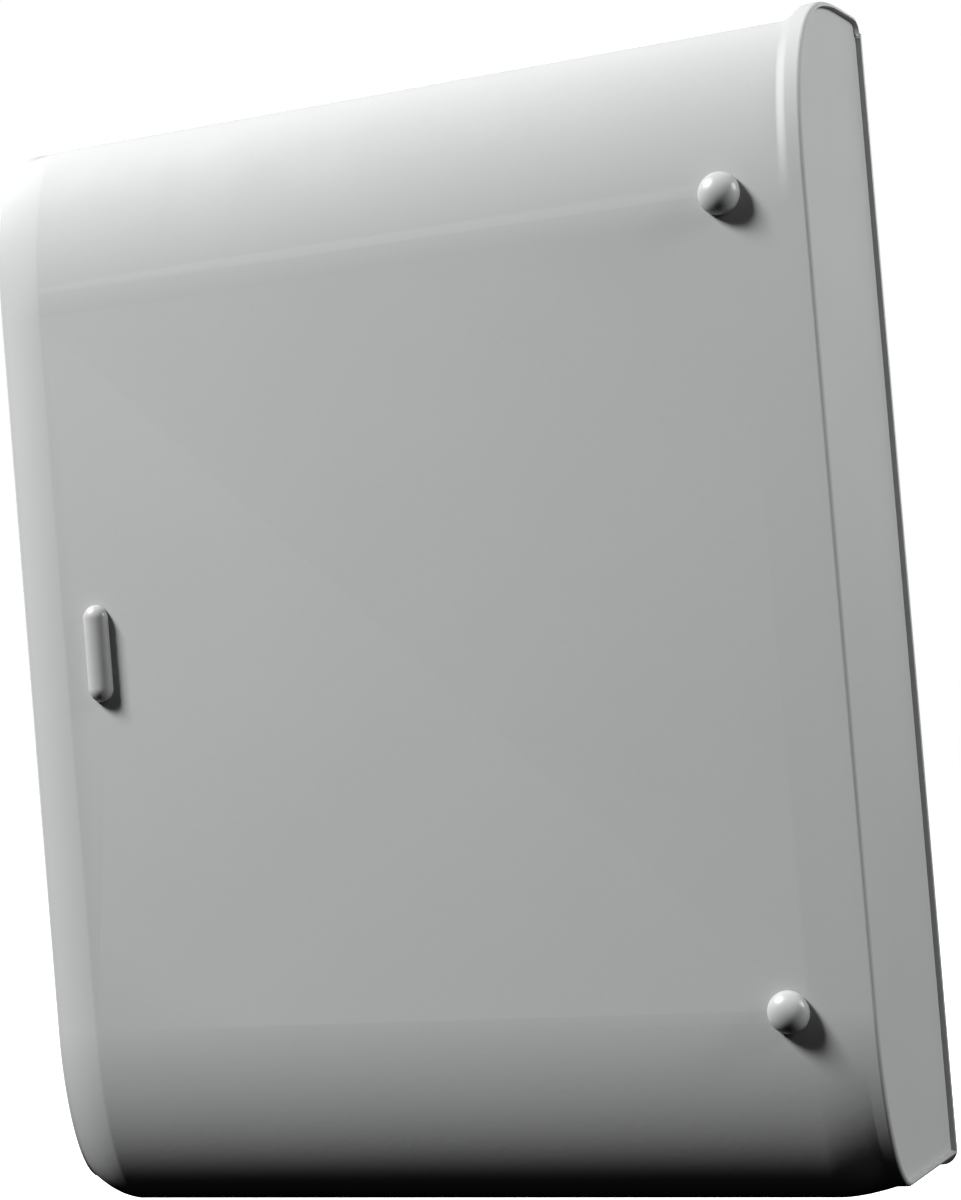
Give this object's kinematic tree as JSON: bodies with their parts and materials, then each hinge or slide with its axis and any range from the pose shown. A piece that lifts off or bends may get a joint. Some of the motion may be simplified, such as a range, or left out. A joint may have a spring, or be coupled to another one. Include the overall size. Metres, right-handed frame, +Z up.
{
  "type": "wall-mounted alarm siren",
  "caption": "Wall-mounted alarm siren in a bowed grey steel cover that hinges off a flat back plate, with horn sounder, standby battery, board and tamper switch inside.",
  "frame": {"origin": "on the rear face of the back plate, in the plane of the wall, level with the middle of the plate and 0.75 mm left of its middle", "axes": "+X to the right of the siren as seen from the front (the side with the two domed screws), +Y into the wall, +Z up"},
  "size_m": [0.24, 0.0705, 0.3075],
  "materials": {
    "cover_paint": "satin grey powder coat on sheet steel",
    "plate_paint": "satin grey powder coat",
    "grey_plastic": "grey diffusing plastic",
    "screw_finish": "grey coated steel, smooth domed head",
    "bracket_steel": "zinc plated sheet",
    "bright_steel": "zinc plated",
    "standoff_brass": "plain turned",
    "nylon": "natural nylon",
    "board_green": "green solder mask on glass fibre board",
    "terminal_green": "moulded",
    "relay_blue": "moulded",
    "black_plastic": "fine moulded texture",
    "capacitor_sleeve": "shrunk sleeve",
    "coil_copper": "varnished winding",
    "led_red": "clear red",
    "black_rubber": "matt",
    "lead_red": "wire insulation",
    "lead_black": "wire insulation",
    "lead_grey": "wire insulation"
  },
  "bodies": {
    "root": {"back_plate": "plate_paint", "battery": "black_plastic", "battery_lead_minus": "lead_black", "battery_lead_plus": "lead_red", "battery_strap": "bracket_steel", "battery_tab_minus": "bright_steel", "battery_tab_plus": "bright_steel", "battery_tray": "bracket_steel", "board_screw_1": "bright_steel", "board_screw_2": "bright_steel", "board_screw_3": "bright_steel", "board_screw_4": "bright_steel", "board_standoff_1": "standoff_brass", "board_standoff_2": "standoff_brass", "board_standoff_3": "standoff_brass", "board_standoff_4": "standoff_brass", "boost_coil": "coil_copper", "bracket_screw_1": "bright_steel", "bracket_screw_2": "bright_steel", "cable_grommet": "black_rubber", "capacitor_1": "capacitor_sleeve", "capacitor_2": "capacitor_sleeve", "circuit_board": "board_green", "control_chip": "black_plastic", "hinge_bracket_lower": "bracket_steel", "hinge_bracket_upper": "bracket_steel", "hinge_pin_lower": "bracket_steel", "hinge_pin_upper": "bracket_steel", "horn": "black_plastic", "horn_bracket": "bracket_steel", "horn_driver": "black_plastic", "relay": "relay_blue", "screw_post_bottom": "bright_steel", "screw_post_top": "bright_steel", "sounder_lead": "lead_grey", "status_led": "led_red", "strap_screw": "bright_steel", "tamper_switch": "black_plastic", "terminal_block": "terminal_green", "tray_screw_1": "bright_steel", "tray_screw_2": "bright_steel"},
    "cover": {"front_cover": "cover_paint", "right_end_panel": "cover_paint", "status_light_guide": "grey_plastic", "hinge_tab_upper": "bracket_steel", "hinge_tab_lower": "bracket_steel", "captive_washer_top": "nylon", "captive_washer_bottom": "nylon"},
    "top_screw": {"cover_screw_top": "screw_finish"},
    "bottom_screw": {"cover_screw_bottom": "screw_finish"},
    "tamper": {"tamper_plunger": "nylon"}
  },
  "joints": [
    {"name": "cover_hinge", "type": "hinge", "parent": "root", "child": "cover", "pos_m": [-0.1185, -0.004, 0], "axis": [0, 0, -1], "range_deg": [0, 90]},
    {"name": "top_screw_turn", "type": "hinge", "parent": "cover", "child": "top_screw", "pos_m": [0.095, -0.0663, 0.1058], "axis": [0, 1, 0], "continuous": true},
    {"name": "bottom_screw_turn", "type": "hinge", "parent": "cover", "child": "bottom_screw", "pos_m": [0.095, -0.0663, -0.1002], "axis": [0, 1, 0], "continuous": true},
    {"name": "tamper_press", "type": "slide", "parent": "root", "child": "tamper", "axis": [0, 1, 0], "range_m": [0, 0.003], "stiffness_N_per_m": 80}
  ]
}
